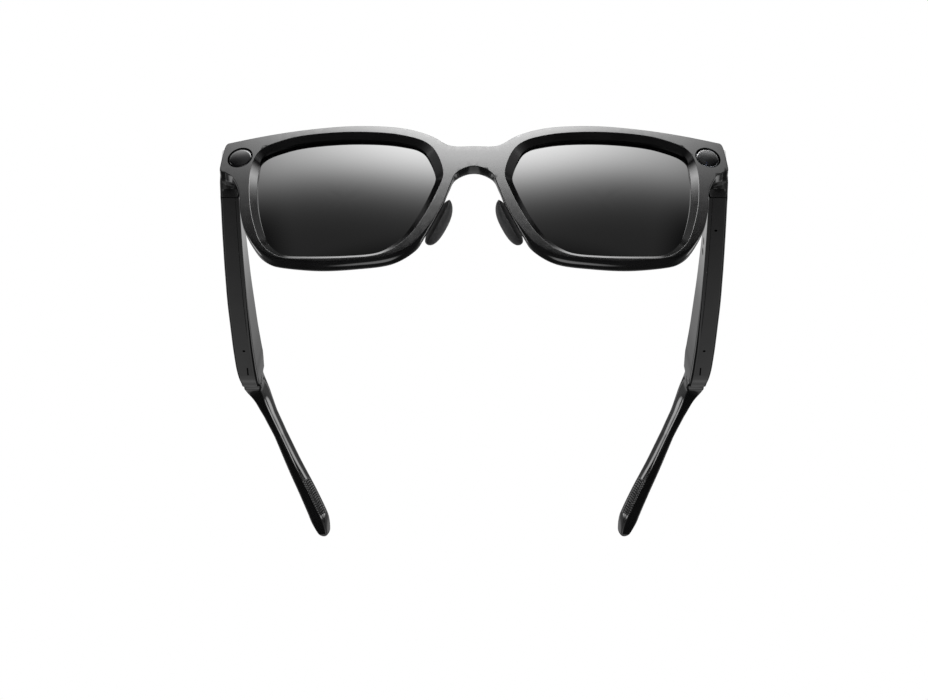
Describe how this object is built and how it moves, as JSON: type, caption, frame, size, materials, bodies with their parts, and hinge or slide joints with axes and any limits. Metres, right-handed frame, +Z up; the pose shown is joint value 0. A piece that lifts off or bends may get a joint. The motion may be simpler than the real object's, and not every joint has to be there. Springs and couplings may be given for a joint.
{
  "type": "smart glasses",
  "caption": "Black smart glasses: wide rectangular front with tinted lenses, corner camera and light, folding temples that hold the electronics.",
  "frame": {"origin": "on the surface that the open glasses stand on, under the middle of their bounding box", "axes": "+X to the wearer's left, +Y from the front back along the temples, +Z up from the surface; the rims' lower edges and both ear tips touch Z = 0"},
  "size_m": [0.1518, 0.1486, 0.054],
  "materials": {
    "satin_black": "black injection-moulded nylon, satin to gloss",
    "gloss_black": "black moulded plastic, polished",
    "lens_tint": "dark grey tinted lens, polished",
    "silicone": "soft black silicone, matte",
    "window_glass": "clear cover window over black, polished",
    "black_metal": "black anodised metal",
    "steel": "plain steel",
    "gold": "gold-plated contact",
    "circuit_board": "green circuit board",
    "amber_film": "amber polyimide film",
    "foil": "battery pouch foil",
    "mesh_cloth": "fine black mesh",
    "sensor_film": "grey sensor film"
  },
  "bodies": {
    "front": {"front_frame": "satin_black", "brow_cover": "satin_black", "lens_left": "lens_tint", "lens_right": "lens_tint", "nose_pad_left": "silicone", "nose_pad_right": "silicone", "camera_window": "window_glass", "led_window": "window_glass", "camera_trim_ring": "black_metal", "led_trim_ring": "black_metal", "camera_module": "black_metal", "hinge_front_leaf_left": "steel", "hinge_front_leaf_right": "steel", "hinge_pin_left": "steel", "hinge_pin_right": "steel", "led_board": "circuit_board", "front_flex_cable": "amber_film"},
    "left_temple": {"temple_outer_shell_left": "gloss_black", "temple_inner_cover_left": "gloss_black", "ear_tip_left": "gloss_black", "tip_core_wire_left": "steel", "hinge_temple_leaf_left": "steel", "battery_left": "foil", "main_board": "circuit_board", "speaker_left": "black_metal", "speaker_mesh_left": "mesh_cloth", "microphone_front_left": "steel", "microphone_rear_left": "steel", "touch_sensor": "sensor_film", "button_switch": "steel", "charging_contact_front": "gold", "charging_contact_rear": "gold"},
    "right_temple": {"temple_outer_shell_right": "gloss_black", "temple_inner_cover_right": "gloss_black", "ear_tip_right": "gloss_black", "tip_core_wire_right": "steel", "hinge_temple_leaf_right": "steel", "battery_right": "foil", "aux_board": "circuit_board", "speaker_right": "black_metal", "speaker_mesh_right": "mesh_cloth", "microphone_rear_right": "steel"},
    "capture_button": {"capture_button": "gloss_black"}
  },
  "joints": [
    {"name": "left_temple_fold", "type": "hinge", "parent": "front", "child": "left_temple", "pos_m": [0.0678, -0.05238, 0.04619], "axis": [0, 0.0991, 0.9951], "range_deg": [0, 83]},
    {"name": "right_temple_fold", "type": "hinge", "parent": "front", "child": "right_temple", "pos_m": [-0.0678, -0.05238, 0.04619], "axis": [0, -0.0991, -0.9951], "range_deg": [0, 71]},
    {"name": "capture_button_press", "type": "slide", "parent": "left_temple", "child": "capture_button", "axis": [0, -0.0991, -0.9951], "range_m": [0, 0.00045], "stiffness_N_per_m": 400}
  ]
}
